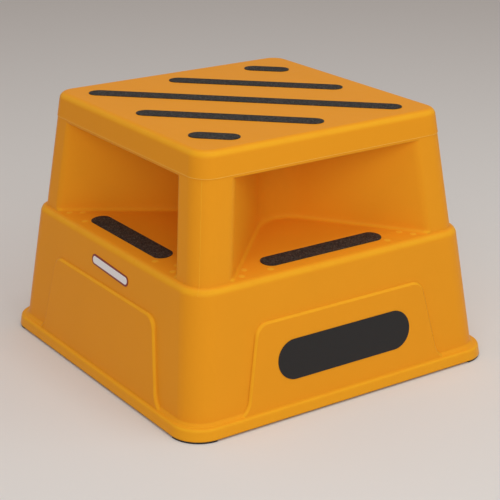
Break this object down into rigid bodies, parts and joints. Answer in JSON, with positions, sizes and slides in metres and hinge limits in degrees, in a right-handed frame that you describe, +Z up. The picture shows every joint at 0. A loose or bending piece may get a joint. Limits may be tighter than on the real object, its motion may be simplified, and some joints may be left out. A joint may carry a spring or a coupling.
{
  "type": "platform step",
  "caption": "Two-tier moulded plastic platform step, square in plan, with a foot bay in each side, anti-slip strips and rubber corner feet.",
  "frame": {"origin": "on the ground under the middle of the step", "axes": "+Z up; -Y is the front with the badge plate; -X is the side with the small label"},
  "size_m": [0.55, 0.55, 0.391],
  "materials": {
    "orange_plastic": "satin moulded",
    "grit_tape": "coarse mineral grit",
    "foot_rubber": "matt",
    "black_plate": "satin",
    "white_label": "satin"
  },
  "bodies": {
    "root": {"body": "orange_plastic", "deck_strip_1": "grit_tape", "deck_strip_2": "grit_tape", "deck_strip_3": "grit_tape", "deck_strip_4": "grit_tape", "deck_strip_5": "grit_tape", "step_strip_front": "grit_tape", "step_strip_right": "grit_tape", "step_strip_back": "grit_tape", "step_strip_left": "grit_tape", "foot_1": "foot_rubber", "foot_2": "foot_rubber", "foot_3": "foot_rubber", "foot_4": "foot_rubber", "badge_plate": "black_plate", "load_label": "white_label"}
  },
  "joints": []
}
